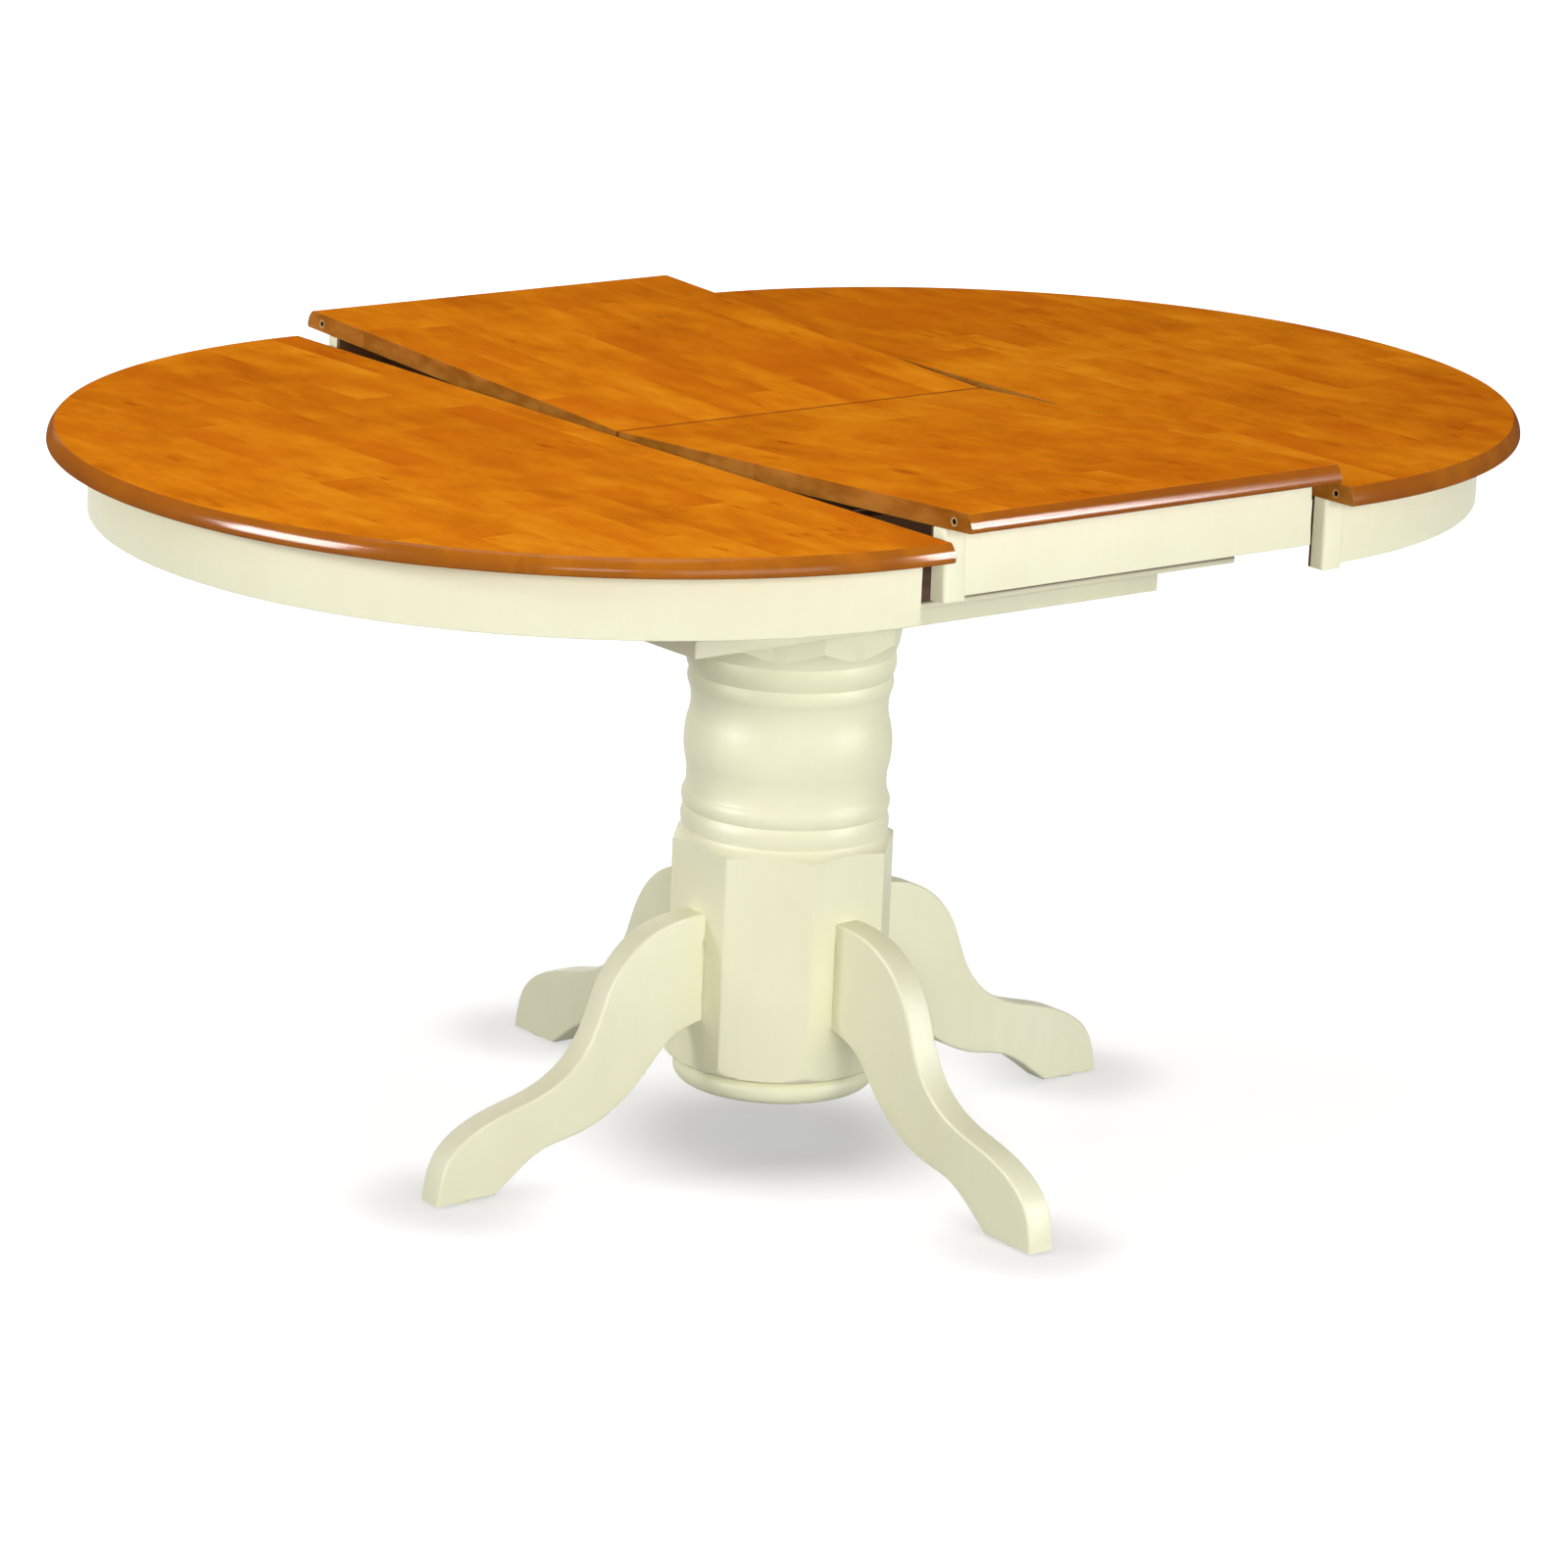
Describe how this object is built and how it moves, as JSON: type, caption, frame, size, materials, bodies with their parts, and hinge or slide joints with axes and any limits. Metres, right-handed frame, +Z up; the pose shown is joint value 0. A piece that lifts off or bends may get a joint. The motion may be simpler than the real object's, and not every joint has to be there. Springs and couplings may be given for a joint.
{
  "type": "butterfly leaf dining table",
  "caption": "Oval extending pedestal table: half-round tops on slides, a folding two-wing butterfly leaf between them, turned octagonal column and S-curved flat legs.",
  "frame": {"origin": "on the floor, under the middle of the table, on the pedestal's axis", "axes": "+X along the way the halves pull apart, +Y away from the viewer, +Z up"},
  "size_m": [1.5586, 1.0668, 0.7803],
  "materials": {
    "stained_wood": "satin clear coat over honey stain",
    "painted_wood": "satin buttermilk paint",
    "plain_wood": "bare hardwood",
    "brass": "satin",
    "zinc_steel": "zinc plated",
    "bush_plastic": "matte",
    "glide_plastic": "matte"
  },
  "bodies": {
    "pedestal": {"pedestal_column": "painted_wood", "base_ring": "painted_wood", "leg_right": "painted_wood", "leg_far": "painted_wood", "leg_left": "painted_wood", "leg_near": "painted_wood", "leg_bolts": "zinc_steel", "leg_washers": "zinc_steel", "leg_nuts": "zinc_steel", "glides": "glide_plastic", "pedestal_plate": "painted_wood", "plate_screws": "zinc_steel", "bearer_left": "painted_wood", "bearer_right": "painted_wood", "cross_rail_left": "painted_wood", "cross_rail_right": "painted_wood", "fixed_rail_near": "painted_wood", "fixed_rail_far": "painted_wood", "rail_stops": "plain_wood", "leaf_carrier": "painted_wood", "hinge_links": "brass"},
    "left_half": {"left_top": "stained_wood", "left_apron": "painted_wood", "left_glue_blocks": "plain_wood", "left_runner_near": "plain_wood", "left_runner_far": "plain_wood", "left_runner_stops": "plain_wood", "left_runner_screws": "zinc_steel", "left_pins": "plain_wood"},
    "right_half": {"right_top": "stained_wood", "right_apron": "painted_wood", "right_posts": "painted_wood", "right_glue_blocks": "plain_wood", "right_runner_near": "plain_wood", "right_runner_far": "plain_wood", "right_runner_stops": "plain_wood", "right_runner_screws": "zinc_steel", "right_bushes": "bush_plastic"},
    "leaf_wing_near": {"leaf_near": "stained_wood", "leaf_hinge_pins_near": "brass", "leaf_bush_near": "bush_plastic", "leaf_pin_near": "plain_wood", "flap_plates_near": "brass", "flap_pins_near": "brass"},
    "leaf_flap_near": {"leaf_apron_near": "painted_wood", "leaf_post_near": "painted_wood", "flap_wings_near": "brass"},
    "leaf_wing_far": {"leaf_far": "stained_wood", "leaf_hinge_pins_far": "brass", "leaf_bush_far": "bush_plastic", "leaf_pin_far": "plain_wood", "flap_plates_far": "brass", "flap_pins_far": "brass"},
    "leaf_flap_far": {"leaf_apron_far": "painted_wood", "leaf_post_far": "painted_wood", "flap_wings_far": "brass"}
  },
  "joints": [
    {"name": "left_slide", "type": "slide", "parent": "pedestal", "child": "left_half", "axis": [-1, 0, 0], "range_m": [-0.0165, 0.06]},
    {"name": "right_slide", "type": "slide", "parent": "pedestal", "child": "right_half", "axis": [1, 0, 0], "range_m": [-0.0165, 0.06]},
    {"name": "leaf_fold_near", "type": "hinge", "parent": "pedestal", "child": "leaf_wing_near", "pos_m": [0, -0.018, 0.749], "axis": [-1, 0, 0], "range_deg": [-2.7, 87]},
    {"name": "leaf_apron_fold_near", "type": "hinge", "parent": "leaf_wing_near", "child": "leaf_flap_near", "pos_m": [0, -0.4716, 0.75585], "axis": [1, 0, 0], "range_deg": [0, 88]},
    {"name": "leaf_fold_far", "type": "hinge", "parent": "pedestal", "child": "leaf_wing_far", "pos_m": [0, 0.018, 0.749], "axis": [1, 0, 0], "range_deg": [-2.7, 87]},
    {"name": "leaf_apron_fold_far", "type": "hinge", "parent": "leaf_wing_far", "child": "leaf_flap_far", "pos_m": [0, 0.4716, 0.75585], "axis": [-1, 0, 0], "range_deg": [0, 88]}
  ]
}
